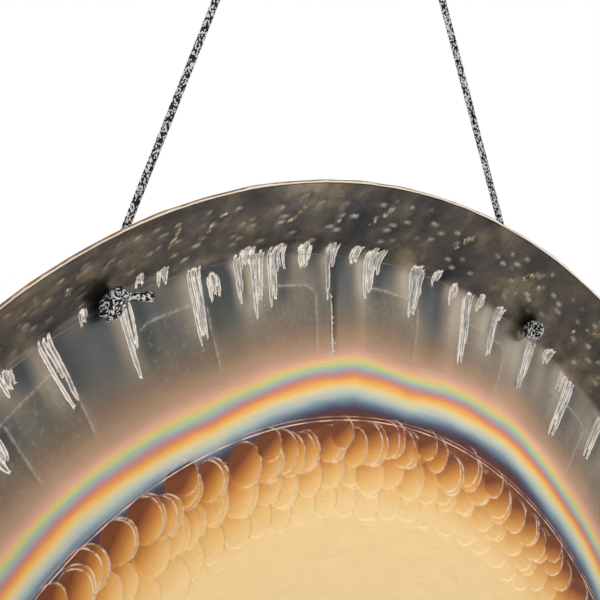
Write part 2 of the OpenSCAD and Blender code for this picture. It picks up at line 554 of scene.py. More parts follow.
def smooth_route(points, step):
    """Points every step along a Catmull-Rom curve through the given points."""
    given = np.array(points, float)
    ends = np.vstack([2 * given[0] - given[1], given, 2 * given[-1] - given[-2]])
    curve = []
    for a, b, c, d in zip(ends, ends[1:], ends[2:], ends[3:]):
        pieces = max(2, int(np.ceil(np.linalg.norm(c - b) / step * 3)))
        t = np.arange(pieces)[:, None] / pieces
        curve.append(0.5 * (2 * b + (c - a) * t + (2 * a - 5 * b + 4 * c - d) * t**2
                            + (3 * b - a - 3 * c + d) * t**3))
    curve = np.vstack([*curve, given[-1:]])
    run = run_along(curve)
    even = np.linspace(0, run[-1], max(4, int(round(run[-1] / step))))
    return np.stack([np.interp(even, run, curve[:, k]) for k in range(3)], axis=1)


def carried_axes(route):
    """Two directions square to the route at each point, carried along it without twist."""
    along = np.gradient(route, axis=0)
    along /= np.linalg.norm(along, axis=1)[:, None]
    side = np.cross(along[0], [0.3, 0.9, 0.2])
    sides = []
    for way in along:
        side = side - way * side.dot(way)
        side = side / np.linalg.norm(side)
        sides.append(side)
    sides = np.array(sides)
    return sides, np.cross(along, sides)


def braid_height(around, along):
    """How far a yarn stands proud, from 0 to 1, by turns round the cord and yarn cells along it."""
    left, right = around * YARNS + along, around * YARNS - along
    left_on_top = (np.floor(left) + np.floor(right)) % 2 > 0.5
    off = np.abs(np.where(left_on_top, left, right) % 1 - 0.5)
    cross = np.abs(np.where(left_on_top, right, left) % 1 - 0.5)
    return (1 - 4 * off**2) * (1 - 1.2 * cross**2)


def braided_tube(name, route, thickness=1.0, fused_from=None):
    """A braided cord along a route in millimetres. thickness scales it at each ring, and from fused_from
    millimetres along it the yarns are melted together."""
    side, up = carried_axes(route)
    rings = len(route)
    run = run_along(route)
    cells = run / YARN_STEP
    turn = np.arange(SIDES) / SIDES
    height = braid_height(turn[None, :], cells[:, None])
    radius = (CORD_D / 2 + BRAID_DEPTH * (height - 0.6)) * np.reshape(thickness, (-1, 1))
    angle = 2 * np.pi * turn
    out = np.cos(angle)[None, :, None] * side[:, None] + np.sin(angle)[None, :, None] * up[:, None]
    points = (route[:, None] + radius[..., None] * out).reshape(-1, 3)
    first, last = len(points), len(points) + 1
    points = np.vstack([points, route[0], route[-1]])

    ring, k = (part.ravel() for part in np.meshgrid(np.arange(rings - 1), np.arange(SIDES), indexing="ij"))
    near, far, beyond = ring * SIDES, (ring + 1) * SIDES, (k + 1) % SIDES
    quads = np.stack([near + k, near + beyond, far + beyond, far + k], axis=1)
    fans = []
    for i in range(SIDES):
        j = (i + 1) % SIDES
        fans.append((first, j, i))
        fans.append((last, (rings - 1) * SIDES + i, (rings - 1) * SIDES + j))
    mesh = bpy.data.meshes.new(name)
    mesh.from_pydata((points * MM).tolist(), [], quads.tolist() + fans)

    u0, u1 = k / SIDES, (k + 1) / SIDES
    v0, v1 = cells[ring], cells[ring + 1]
    corners = [np.stack(corner, axis=1) for corner in ((u0, v0), (u1, v0), (u1, v1), (u0, v1))]
    uv = np.vstack([np.stack(corners, axis=1).reshape(-1, 2), np.zeros((len(fans) * 3, 2))])
    mesh.uv_layers.new(name="lay").data.foreach_set("uv", uv.astype(np.float32).ravel())
    if fused_from is not None:
        fused = np.clip((run - fused_from) / 1.2, 0, 1)
        add_attribute(mesh, "fused", np.concatenate([np.repeat(fused, SIDES), [0, 1]]))
    return finish_mesh(mesh, name)


def add_attribute(mesh, name, values):
    """A number at each point of a mesh, for its material."""
    mesh.attributes.new(name, "FLOAT", "POINT").data.foreach_set("value", values.astype(np.float32))


def finish_mesh(mesh, name):
    """A smooth-shaded object from a mesh."""
    mesh.validate()
    mesh.update()
    mesh.polygons.foreach_set("use_smooth", np.ones(len(mesh.polygons), bool))
    return add_to_scene(name, mesh)


def cord_route():
    """From the left hole over the hook to the right hole."""
    bight = [
        (BIGHT_R * math.cos(a), 0, BIGHT_Z + BIGHT_R * math.sin(a))
        for a in np.linspace(math.pi - BIGHT_FROM, BIGHT_FROM, BIGHT_RINGS + 1)
    ]
    straight = np.linspace(LEG_BEND[-1], LEG_TOP, LEG_RINGS + 1)
    up = list(LEG_BEND) + [tuple(p) for p in straight[1:]]
    down = [(-x, y, z) for x, y, z in reversed(up)]
    return up + bight[1:-1] + down


def hole_place(side):
    """The middle of a cord hole half way through the sheet, and its axis out of the back of the gong."""
    mid = BEND_R + SHEET / 2
    radius = FLAT_R + mid * math.sin(HOLE_LEAN)
    y = FACE_Y - BEND_R + mid * math.cos(HOLE_LEAN)
    spoke = Vector((side * math.sin(HOLE_AT), 0, math.cos(HOLE_AT)))
    place = spoke * radius + Vector((0, y, GONG_Z))
    return place, (spoke * math.sin(HOLE_LEAN) + Vector((0, math.cos(HOLE_LEAN), 0))).normalized()


def make_knot(name, side, body_d, settle, over, tail, tail_length, tail_swell):
    """A stopper knot: the cord comes in through the hole, winds into a tight ball pulled flat against the
    sheet, and ends in a fused tail. settle moves the ball off the hole's axis, and over holds the last points
    of the winding, off the ball's middle."""
    hole, axis = hole_place(side)
    reach = (body_d - CORD_D) / 2
    middle = hole - axis * (SHEET / 2 + KNOT_GAP + CORD_D / 2 + reach * KNOT_FLAT) + Vector(settle)
    tail = Vector(tail).normalized()
    across = axis.cross(tail).normalized()
    level = across.cross(axis)
    wound = []
    for share in np.linspace(0, 1, KNOT_STEPS):
        # each turn is a ring, and the rings' own axis goes round a cone about the hole's
        cone = 2 * math.pi * share * KNOT_ROUND
        sideways = level * math.cos(cone) + across * math.sin(cone)
        normal = axis * math.cos(KNOT_CONE) + sideways * math.sin(KNOT_CONE)
        first = normal.cross(axis).normalized()
        second = normal.cross(first)
        turn = 2 * math.pi * KNOT_TURNS * share
        way = first * math.cos(turn) + second * math.sin(turn)
        size = reach * (0.4 + 0.6 * ease(share * 3)) + KNOT_WAVER * math.sin(3.1 * turn)
        wound.append(middle + (way - axis * way.dot(axis) * (1 - KNOT_FLAT)) * size)
    start = [hole - axis * 0.2, hole - axis * (SHEET / 2 + 0.6)]
    over = [middle + Vector(place) for place in over]
    end = over + [over[-1] + tail * tail_length * share for share in (0.3, 0.65, 1)]
    route = smooth_route([tuple(p) for p in start + wound[3:] + end], KNOT_STEP)
    run = run_along(route)
    left_over = run[-1] - run
    swell = 1 + (tail_swell - 1) * ease((TAIL_SWELL_END - left_over) / 3)
    swell *= np.sqrt(np.clip(1 - np.clip(1 - left_over / TAIL_ROUNDING, 0, 1) ** 2, 0.02, 1))
    knot = braided_tube(name, route, thickness=swell, fused_from=run[-1] - min(2.0, tail_length * 0.15))
    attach(knot, "gong")
    return knot


def make_cord():
    left = make_knot(
        "left_stopper_knot", -1, body_d=14.4, settle=(-4.4, 0, -2.2),
        over=[(-2.5, -4.0, 5.2), (0.2, -4.6, 7.4), (3.0, -5.0, 5.6), (5.5, -5.0, 4.9)],
        tail=(0.96, -0.28, 0.04), tail_length=12.5, tail_swell=1.3,
    )
    right = make_knot(
        "right_stopper_knot", 1, body_d=13, settle=(-3.4, 0, 3.0),
        over=[(-2.0, -5.0, 1.5), (-2.6, -5.8, -0.5)],
        tail=(-0.80, -0.60, -0.07), tail_length=2.5, tail_swell=1.1,
    )
    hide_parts("left_knot")
    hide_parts("right_knot")
    route = smooth_route(cord_route(), RING_STEP)
    cord = braided_tube("cord", route)
    paint = braid_paint()
    for piece in (left, right, cord):
        piece.data.materials.append(paint)
    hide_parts("cord_bight", "cord_left_leg", "cord_right_leg")
    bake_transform(cord)


# ---------------------------------------------------------------- gong

random = np.random.default_rng(SEED)
uniform = random.uniform
LIP_R = SHEET / 2
SLANT = (RIM_R - FLAT_R - (BEND_R + SHEET) * math.sin(LEAN)) / math.cos(LEAN)
FRONT_END = FLAT_R + BEND_R * LEAN + SLANT - LIP_R
BACK_END = FLAT_R + (BEND_R + SHEET) * LEAN + SLANT - LIP_R
RIM_POINTS = 1500
LIP_STEPS = 6
HOLE_POINTS = 28
EDGE_BLOWS = 26

# How far out the heat ring lies, against its middle radius, by degrees from the top
HEAT_RING = [
    (-180, -2), (-150, -5), (-125, 1), (-100, -4), (-75, 0), (-58, -7), (-35, -7), (-19, -10), (-8, -3.5),
    (1, 1.5), (9.5, -3), (15, 0), (27, 1.5), (38, -2.5), (60, -6), (85, -1), (110, -5), (140, 0), (160, -4),
    (180, -2),
]

# How light the outer face is along each spoke near the top, by degrees from it: partly the oxide's tone and
# partly painted reflection bands. Elsewhere it is random.
TOP_TONES = [
    (-42, 0.95), (-36, 1.05), (-34, 0.9), (-31, 1.05), (-28, 0.8), (-26, 0.86), (-24, 1.06), (-21, 0.9),
    (-17, 1.0), (-14, 0.76), (-12, 1.2), (-9, 1.27), (-6.5, 1.12), (-3, 0.93), (0.5, 0.95), (2, 1.35),
    (4, 1.02), (6, 1.1), (9.5, 1.28), (12, 0.78), (14.5, 1.42), (18, 1.46), (22, 1.35), (26, 1.48),
    (30, 1.14), (33, 1.33), (36.5, 1.16), (41, 1.25),
]
TONES_EVERY = 3.0

# Scraped marks near the top: degrees from the top, where each starts and ends, its width and its strokes.
# The rest of the ring is filled with marks of the same kind.
TOP_MARKS = [
    (-39.0, 352, 335, 8, 3), (-31.7, 374, 339, 8, 3), (-24.1, 367, 334, 8, 3), (-17.0, 371, 336, 9, 4),
    (-12.5, 372, 350, 4, 2), (-10.3, 373, 341, 8, 4), (-8.6, 374, 346, 7, 3), (-2.2, 377, 349, 4, 2),
    (-2.0, 350, 320, 1.6, 1), (2.8, 375, 351, 8, 4), (8.9, 374, 345, 8, 4), (16.0, 371, 331, 8, 4),
    (20.4, 374, 345, 6, 3), (26.2, 370, 339, 8, 4), (33.3, 369, 331, 8, 4), (39.5, 370, 342, 8, 3),
    (-35.5, 371, 361, 9, 3), (-15.2, 366, 355, 9, 3), (-11.6, 376, 366, 10, 4), (-8.0, 376, 363, 8, 3),
    (-5.2, 377, 364, 9, 4), (-2.1, 377, 364, 8, 4), (0.7, 377, 369, 7, 3), (3.4, 377, 362, 10, 5),
    (8.9, 373, 359, 10, 5), (11.2, 376, 368, 5, 2), (14.0, 372, 362, 7, 3), (17.6, 374, 366, 5, 2),
    (20.4, 374, 364, 8, 3), (24.4, 374, 367, 5, 2), (28.8, 374, 366, 6, 3), (31.9, 369, 359, 7, 3),
    (-20.3, 377, 370, 7, 3), (-28.0, 375, 369, 6, 2), (-22.6, 379, 374, 5, 2),
]
MARKED_TO = 42
MARKS_EVERY = 3.4

# Radii of the square patches' top and foot, and the angle from each patch to the next
PATCH_TOP = 355
PATCH_FOOT = 317
PATCHES_FROM = -34.4
PATCHES_EVERY = 13.6

# Brassy marks on the flange: the first one's angle, the angle to the next, the radius where each starts, the
# radius that its lean turns it about, and its count of dabs and their spacing
BRASSY_FROM = -16
BRASSY_EVERY = 9.1
BRASSY_START = 392
BRASSY_MIDDLE = 400
BRASSY_DABS = 9
BRASSY_STEP = 1.6

# The kinds of mark that the material reads from the mesh, and how far a struck disc's painted shade shifts
# its tint across it
MARKS = ("line", "scrape", "patch", "ridge", "gold", "dimple", "on_disc", "disc_shade_tint")
SHADE_TINT_SHIFT = 12.0

# Blows whose rim shows less than this get no points of their own
SHOWN_BLOW = 0.12

# Points of the mesh: rings (outer radius, spacing) of both sides, and the distances kept between points
FRONT_ZONES = [(200, 4.2), (246, 3.2), (288, 2.3), (316, 3.6), (372, 2.4), (420, 2.1)]
BACK_ZONES = [(240, 5.0), (290, 3.2), (340, 4.0), (420, 2.8)]
BESIDE_RIM = 0.45
DETAIL_CELL = 0.42
CLEAR_OF_EDGE = 0.6
CLEAR_OF_DETAIL = 1.0

# The relief never goes deeper than this, so that the two sides don't meet inside the sheet, and it dies out
# over these distances from the rim and the holes
DEEPEST_FRONT = 1.1
DEEPEST_BACK = 0.7
RIM_CALM = 6
HOLE_CALM = 4


def wrap(angle):
    """The same angle, from -180 to 180 degrees."""
    return (angle + 180) % 360 - 180


def radial(angle, radius):
    """Points of the developed sheet from angles in degrees and develop radii."""
    a = np.radians(angle)
    return np.stack([radius * np.sin(a), radius * np.cos(a)], axis=-1)


def even_ring(count, radius, shift=0.0):
    """Points evenly round the developed sheet. shift turns them by a share of their spacing."""
    return radial((np.arange(count) + shift) * 360 / count, np.full(count, radius))


def distance(points, middle):
    """How far each point lies from a middle."""
    return np.hypot(*(points - middle).T)


def ease(x):
    """A smooth rise from 0 to 1 as x goes from 0 to 1."""
    x = np.clip(x, 0, 1)
    return x * x * (3 - 2 * x)


def between(a, b, share):
    """a where share is 0, and b where it is 1."""
    return a * (1 - share) + b * share


# What is on the sheet, as lists


def fill_angles(every, spread):
    """Angles round the gong where the top's own list doesn't reach."""
    count = int((360 - 2 * MARKED_TO) / every)
    return wrap(MARKED_TO + every * (0.5 + np.arange(count)) + uniform(-spread, spread, count))


def mark_list():
    """Every scraped mark: angle, start radius, end radius, width and count of strokes."""
    marks = list(TOP_MARKS)
    for angle in fill_angles(MARKS_EVERY * 1.4, 1.2):
        start = uniform(367, 375)
        length = random.choice([16, 26, 32, 38])
        marks.append((angle, start, start - length, uniform(6, 9), random.integers(2, 5)))
    for angle in fill_angles(MARKS_EVERY, 1.4):
        start = uniform(371, 379)
        end = start - uniform(6, 14)
        marks.append((angle, start, end, uniform(5, 10), random.integers(2, 5)))
    return marks


def strokes_of(marks):
    """The strokes of every mark, which draw together towards its inner end. Each is the mark's angle, the two
    ends as offsets round the gong and radii, the bow, the width and the strength."""
    strokes = []
    for angle, start, end, width, count in marks:
        length = start - end
        if length < 15 or random.random() < 0.5:
            head = uniform(2.5, 5)
            bow, thick = uniform(-0.5, 0.5), width * uniform(0.5, 0.8)
            strokes.append((angle, -0.2, start, 0.4, start - head, bow, thick, 0.75))
        lean = uniform(-0.1, 0.1) * length
        narrow = 0.6 if length > 15 else 0.8
        for k in range(count):
            place = ((k + 0.5) / count - 0.5) * width * 1.15
            shorter = 0 if k == 0 else uniform(0, 0.4) * length
            top = start - uniform(0, min(2.5, length * 0.15))
            thick = min(uniform(1.7, 3.6), width * 0.7)
            bow, strength = uniform(-0.8, 0.8), uniform(0.75, 1.0)
            strokes.append((angle, place, top, place * narrow + lean, end + shorter, bow, thick, strength))
    return strokes


def stroke_path(stroke):
    """Points along the middle of a stroke on the developed sheet, and its half width at each."""
    angle, place, top, foot_place, foot, bow, thick, _ = stroke
    share = np.linspace(0, 1, max(4, int((top - foot) / 1.1)))
    radius = top + (foot - top) * share
    off = place + (foot_place - place) * share + bow * np.sin(math.pi * share)
    half = thick / 2 * np.minimum(1, 0.6 + 4 * share) * np.minimum(1, 0.6 + 3 * (1 - share))
    return radial(angle + np.degrees(off / radius), radius), half


def blow_list():
    """Every hammer blow on the middle, in the order they were struck, from the centre outwards: its middle on
    the developed sheet, its radius, how strongly its rim shows and its angle."""
    rows = [(28 + 18 * k, 6 + 4 * k, 9.5, 0.03) for k in range(10)]
    rows += [
        (204, 58, 10.0, 0.04), (217, 70, 10.0, 0.05), (230, 82, 10.2, 0.08), (243, 94, 10.4, 0.17),
        (257, 100, 10.6, 0.5), (270.5, 104, 10.8, 1.0),
    ]
    blows = []
    for radius, count, size, show in rows:
        turn = uniform(0, 360)
        for i in range(count):
            angle = turn - i * 360 / count + uniform(-0.25, 0.25) * 360 / count
            out = radius + random.normal(0, 1.8)
            blow = (size * uniform(0.9, 1.08), show * uniform(0.75, 1.0), angle)
            blows.append((radial(angle, out), *blow))
            if show > 0.3 and random.random() < 0.6:
                again = angle - uniform(0.3, 1.1)
                blows.append((radial(again, out + uniform(-2, 2.5)), *blow))
    for i in range(EDGE_BLOWS):
        angle = i * 360 / EDGE_BLOWS + uniform(-4, 4)
        blows.append((radial(angle, 277.5 + uniform(-2, 1.5)), 8.6, 0.75, angle))
    return blows


def dimple_list():
    """Hammer dimples on the flange: middle, angle, half length, half width and depth."""
    dimples = []
    for radius in np.arange(380, 408, 5.2):
        count = int(2 * math.pi * radius / 14)
        for i in range(count):
            if random.random() < 0.35:
                continue
            angle = (i + uniform(-0.45, 0.45)) * 360 / count
            middle = radial(angle, radius + uniform(-2.5, 2.5))
            sizes = uniform(2.4, 5), uniform(1.5, 2.6), uniform(0.27, 0.56)
            dimples.append((middle, angle, *sizes))
    return dimples


def patch_list():
    """Square patches on the outer face: the middle's angle, half the width in degrees and the top's slope."""
    patches = []
    for angle in np.arange(PATCHES_FROM, PATCHES_FROM + 359, PATCHES_EVERY):
        angle = wrap(angle + uniform(-1, 1))
        patches.append((angle, uniform(3.5, 4.1), uniform(-0.3, 0.9)))
    return patches


def patch_top(off, half, slope):
    """The radius of a patch's top edge, off degrees from its middle."""
    return PATCH_TOP + off * slope - 2.5 * ease((np.abs(off) - half + 1.2) / 1.2)


def tone_list():
    """Angles from -180 to 180 degrees and the tone of the outer face at each."""
    tones = list(TOP_TONES)
    angle = MARKED_TO + TONES_EVERY
    while angle < 360 - MARKED_TO:
        tones.append((wrap(angle), uniform(0.76, 1.45)))
        angle += TONES_EVERY * uniform(0.5, 1.3)
    tones.sort()
    last, first = tones[-1], tones[0]
    return [(last[0] - 360, last[1]), *tones, (first[0] + 360, first[1])]


# The mesh's points, on the developed sheet


def blow_rings(blows):
    """Points beside the rim of each blow that shows, where no later blow has wiped it out."""
    rings = []
    for i, (middle, size, show, _) in enumerate(blows):
        if show < SHOWN_BLOW:
            continue
        turn = np.arange(0, 2 * np.pi, 1.0 / size)
        for offset in (-0.7, -0.2, 0.2, 0.7):
            ring = middle + (size + offset) * np.stack([np.sin(turn), np.cos(turn)], axis=1)
            hidden = np.zeros(len(ring), bool)
            for later, later_size, _, _ in blows[i + 1:]:
                if np.hypot(*(later - middle)) < size + later_size + 2:
                    hidden |= distance(ring, later) < later_size - 1.2
            rings.append(ring[~hidden])
    return rings


def stroke_lines(strokes):
    """Lines of points along the middle and the sides of each stroke."""
    lines = []
    for path, half in map(stroke_path, strokes):
        way = np.gradient(path, axis=0)
        way /= np.linalg.norm(way, axis=1)[:, None] + 1e-9
        sideways = np.stack([-way[:, 1], way[:, 0]], axis=1)
        lines += [path + (half * share)[:, None] * sideways for share in (-1.3, -0.75, 0.0, 0.75, 1.3)]
    return lines


def patch_edges(patches):
    """Lines of points close beside the top and the one marked side of each patch."""
    lines = []
    for angle, half, slope in patches:
        off = np.linspace(-half, half, 60)
        radius = np.arange(PATCH_FOOT, patch_top(half, half, slope), 0.9)
        for beside in (-1.0, -0.35, 0.35, 1.0):
            lines.append(radial(angle + off, patch_top(off, half, slope) + beside))
            lines.append(radial(angle + half + np.degrees(beside / radius), radius))
    return lines


def cells_of(points, cell):
    """The square cell that each point lies in."""
    return np.floor(points / cell).astype(np.int64)


def cell_keys(cells):
    """One number for each square cell."""
    return cells[:, 0] * 100_003 + cells[:, 1]


def thin_out(points, cell):
    """One point of those that share a square cell."""
    _, kept = np.unique(cell_keys(cells_of(points, cell)), return_index=True)
    return points[np.sort(kept)]


def clear_of(points, others, cell):
    """The points with none of the others in their own or a neighbouring cell."""
    taken = np.unique(cell_keys(cells_of(others, cell)))
    cells = cells_of(points, cell)
    free = np.ones(len(points), bool)
    for dx in (-1, 0, 1):
        for dy in (-1, 0, 1):
            free &= ~np.isin(cell_keys(cells + (dx, dy)), taken)
    return points[free]


def base_grid(zones, end):
    """Rings of points, spaced as each zone (outer radius, spacing) says."""
    rings = [np.zeros((1, 2))]
    radius, k = zones[0][1], 0
    for outer, spacing in zones:
        while radius < min(outer, end - 0.6 * spacing):
            count = max(6, int(round(2 * math.pi * radius / spacing)))
            rings.append(even_ring(count, radius, 0.5 * (k % 2)))
            radius += spacing * 0.9
            k += 1
    return np.vstack(rings)


def hole_rings(bend_r):
    """The two cord holes on one side of the sheet, as rings of points."""
    angle = np.arange(HOLE_POINTS) * 2 * np.pi / HOLE_POINTS
    middle = FLAT_R + bend_r * HOLE_LEAN
    across = np.degrees(HOLE_D / 2 * np.cos(angle) / profile(middle, bend_r)[0])
    out = middle + HOLE_D / 2 * np.sin(angle)
    return [radial(side * math.degrees(HOLE_AT) + across, out) for side in (-1, 1)]


def triangulate(flat, hole_middles, towards):
    """Triangles over the points and round the holes, all facing the viewer of that side."""
    _, _, faces, origin, _, _ = delaunay_2d_cdt([Vector(p) for p in flat], [], [], 0, 1e-5)
    triangles = np.array([[origin[v][0] for v in face] for face in faces])
    for middle in hole_middles:
        centre = flat[triangles].mean(axis=1)
        triangles = triangles[distance(centre, middle) > HOLE_D / 2 - 0.2]
    a, b, c = (flat[triangles[:, i]] for i in range(3))
    area = (b[:, 0] - a[:, 0]) * (c[:, 1] - a[:, 1]) - (c[:, 0] - a[:, 0]) * (b[:, 1] - a[:, 1])
    flip = area * towards > 0
    triangles[flip] = triangles[flip][:, ::-1]
    return triangles


def profile(s, bend_r):
    """The section of one side of the sheet at develop radius s: radius, distance behind the hollow face, and
    the radial and backward parts of the normal that points out of the back."""
    lift = bend_r - BEND_R
    turn = np.clip((s - FLAT_R) / bend_r, 0, LEAN)
    past = np.clip(s - FLAT_R - bend_r * LEAN, 0, None)
    radius = np.minimum(s, FLAT_R) + bend_r * np.sin(turn) + past * math.cos(LEAN)
    behind = lift - bend_r * (1 - np.cos(turn)) - past * math.sin(LEAN)
    return radius, behind, np.sin(turn), np.cos(turn)


def place_on_sheet(flat, height, bend_r, towards):
    """Developed points to 3-D. height lifts them towards the viewer of that side: -1 hollow side, 1 back."""
    s = distance(flat, 0)
    radius, behind, out, back = profile(s, bend_r)
    radius = radius + towards * height * out
    behind = behind + towards * height * back
    x, z = (flat / np.maximum(s, 1e-9)[:, None]).T * radius
    return np.stack([x, FACE_Y + behind, GONG_Z + z], axis=1)


# The relief and the marks at those points


def sheet_waves(flat, spacing, seed, amount):
    """A smooth random height over the sheet: values on a square grid, joined by smooth curves."""
    table = np.random.default_rng(seed).uniform(-1, 1, (160, 160))
    grid = flat / spacing + 80
    cell = np.floor(grid).astype(int)
    part_x, part_y = ease(grid - cell).T
    x, y = cell.T
    top = between(table[x, y], table[x + 1, y], part_x)
    low = between(table[x, y + 1], table[x + 1, y + 1], part_x)
    return amount * between(top, low, part_y)


class Relief:
    """Height and marks of one side of the sheet at its points."""

    def __init__(self, flat, wave_seed):
        self.flat = flat
        self.order = np.argsort(flat[:, 0])
        self.sorted_x = flat[self.order, 0]
        self.radius = distance(flat, 0)
        self.angle = np.degrees(np.arctan2(flat[:, 0], flat[:, 1]))
        outer = ease((self.radius - 290) / 40)
        self.height = sheet_waves(flat, 34, wave_seed, 0.5) * (0.2 + 0.8 * outer)
        self.height += sheet_waves(flat, 13, wave_seed + 1, 0.2) * outer
        self.height += 0.8 * self.flutes(wave_seed) * ease((self.radius - 318) / 30)
        self.marks = {name: np.zeros(len(flat)) for name in MARKS}
        # painted shade and painted light beside the dents, added to the outer face's tone
        self.shade = np.zeros(len(flat))

    def flutes(self, seed):
        """Shallow furrows along the spokes, which the scraping left in the outer face."""
        height = 0
        for count, amount in ((52, 0.55), (118, 0.16)):
            table = np.random.default_rng(seed + count).uniform(-1, 1, count)
            place = (self.angle + 180) / 360 * count
            cell = np.floor(place).astype(int)
            here, onward = table[cell % count], table[(cell + 1) % count]
            height = height + amount * between(here, onward, ease(place - cell))
        return height

    def around(self, middle, reach):
        """The points within a square of half side reach round middle."""
        low, high = np.searchsorted(self.sorted_x, [middle[0] - reach, middle[0] + reach])
        found = self.order[low:high]
        return found[np.abs(self.flat[found, 1] - middle[1]) < reach]

    def round_blow(self, middle, angle, reach):
        """The points around a middle, and how far each lies outwards from it and onwards round the gong."""
        found = self.around(middle, reach)
        off = self.flat[found] - middle
        sin, cos = math.sin(math.radians(angle)), math.cos(math.radians(angle))
        return found, off @ np.array([sin, cos]), off @ np.array([cos, -sin])

    def show(self, name, points, value):
        self.marks[name][points] = np.maximum(self.marks[name][points], value)

    def strike(self, middle, size, show, angle, depth):
        """One flat hammer blow: deepest on the side it leant to, where its rim cuts in."""
        found, outward, onward = self.round_blow(middle, angle, size * 1.25)
        far = np.hypot(outward, onward)
        lean = (onward * 0.95 - outward * 0.15) / np.maximum(far, 0.3)
        inside = ease((size - far) / 0.5 + 0.5)
        bowl = -depth * (0.35 + 0.65 * ease(0.5 + 0.5 * lean) * (far / size) ** 2)
        lip = 0.3 * depth * np.exp(-((far - size - 0.7) / 0.7) ** 2)
        self.height[found] = self.height[found] * (1 - 0.8 * inside) + bowl * inside + lip
        self.marks["line"][found] *= 1 - inside
        ragged = 0.16 * np.sin(np.arctan2(outward, onward) * 5 + angle)
        # the rim's bright line is partly a painted highlight, strongest on the side the blow leant to
        rim = np.clip(1.6 - np.abs(far - size + ragged) / 0.3, 0, 1) * ease(0.45 + 0.8 * lean)
        self.show("line", found, rim * show)
        # painted shade across the disc: its tint shifts darker on one side and lighter on the other
        facet_shade = (outward * 0.55 - onward * 0.75) / size
        self.marks["disc_shade_tint"][found] *= 1 - inside
        self.marks["disc_shade_tint"][found] += SHADE_TINT_SHIFT * show**0.5 * facet_shade * inside
        self.show("on_disc", found, inside * min(1.0, show * 2.5))

    def dimple(self, middle, angle, half_length, half_width, depth):
        """One round-ended hammer dimple, with a painted highlight on its upper side."""
        found, outward, onward = self.round_blow(middle, angle, half_length * 2.2)
        far = (onward / half_length) ** 2 + (outward / half_width) ** 2
        self.height[found] -= depth * np.exp(-far * 1.2)
        # painted highlight: a small light spot to one side of the dimple's middle
        upper = (onward / half_length) ** 2 + ((outward - 0.35 * half_width) / (0.6 * half_width)) ** 2
        self.show("dimple", found, (1 - ease(upper * 1.5)) * min(1.0, depth * 2.4))

    def dent(self, mark):
        """The hollow that a scraped mark was hammered into, with painted shade on one side and painted light
        on the other.
        """
        angle, start, end, width, _ = mark
        found = self.around(radial(angle, (start + end) / 2), (start - end) / 2 + 16)
        radius = self.radius[found]
        off = wrap(self.angle[found] - angle) * math.pi / 180 * radius
        reach = ease((start + 5 - radius) / 8) * ease((radius - end + 8) / 16)
        wide = width * 0.8
        side = off / (1.3 * wide)
        # painted light on one side of the hollow and painted shade on the other
        self.shade[found] -= 0.42 * side * np.exp(0.5 - side**2) * reach
        self.height[found] -= min(1.1, 0.06 * (start - end)) * np.exp(-(off / wide) ** 2) * reach

    def scrape(self, stroke):
        """One stroke of a scraper: bare metal in a shallow groove with raised sides."""
        path, half = stroke_path(stroke)
        reach = half.max() + 1.2
        low, high = path.min(axis=0) - reach, path.max(axis=0) + reach
        found = self.around((low + high) / 2, (high - low).max() / 2)
        if not len(found):
            return
        far = (np.linalg.norm(self.flat[found][:, None] - path[None], axis=2) / half[None]).min(axis=1)
        self.show("scrape", found, (1 - ease((far - 0.35) / 0.95)) * stroke[-1])
        self.height[found] += 0.1 * np.exp(-((far - 1.25) / 0.35) ** 2)
        self.height[found] -= 0.14 * (1 - ease((far - 0.4) / 0.6))

    def patch(self, angle, half, slope):
        """A square patch of scratches on the outer face, with a ridge along the top and one side."""
        off = wrap(self.angle - angle)
        below_top = patch_top(off, half, slope) - self.radius
        above_foot = self.radius - PATCH_FOOT
        inside = ease((half - np.abs(off)) / 0.35)
        inside = inside * ease(above_foot / 10) * ease(below_top / 1.5)
        edge = np.exp(-(below_top / 0.7) ** 2) * ease((half - np.abs(off)) / 0.3)
        side = np.exp(-((off - half) / 0.11) ** 2) * ease(below_top / 2) * ease(above_foot / 6)
        self.show("patch", slice(None), inside)
        self.show("ridge", slice(None), np.maximum(edge, 0.9 * side))
        self.height += 0.15 * (edge + side) - 0.1 * inside

    def brassy_marks(self):
        """Short scored marks on the flange where the rim was worked, brassy against the dark oxide."""
        for angle in np.arange(BRASSY_FROM, BRASSY_FROM + 356, BRASSY_EVERY):
            angle = angle + uniform(-1.2, 1.2)
            lean = uniform(0.06, 0.2)
            for k in range(BRASSY_DABS):
                radius = BRASSY_START + BRASSY_STEP * k + uniform(-1.2, 1.2)
                place = radial(angle + lean * (radius - BRASSY_MIDDLE) + uniform(-0.32, 0.32), radius)
                found = self.around(place, 4)
                far = distance(self.flat[found], place) / uniform(1.8, 3.6)
                self.show("gold", found, 1 - ease(far))

    def calm(self, end, hole_middles, deepest):
        """Keeps the relief shallower than deepest, and lets it die out at the rim and at the holes."""
        calm = ease((end - self.radius) / RIM_CALM)
        for middle in hole_middles:
            calm = calm * ease((distance(self.flat, middle) - HOLE_D / 2) / HOLE_CALM)
        self.height = calm * deepest * np.tanh(self.height / deepest)


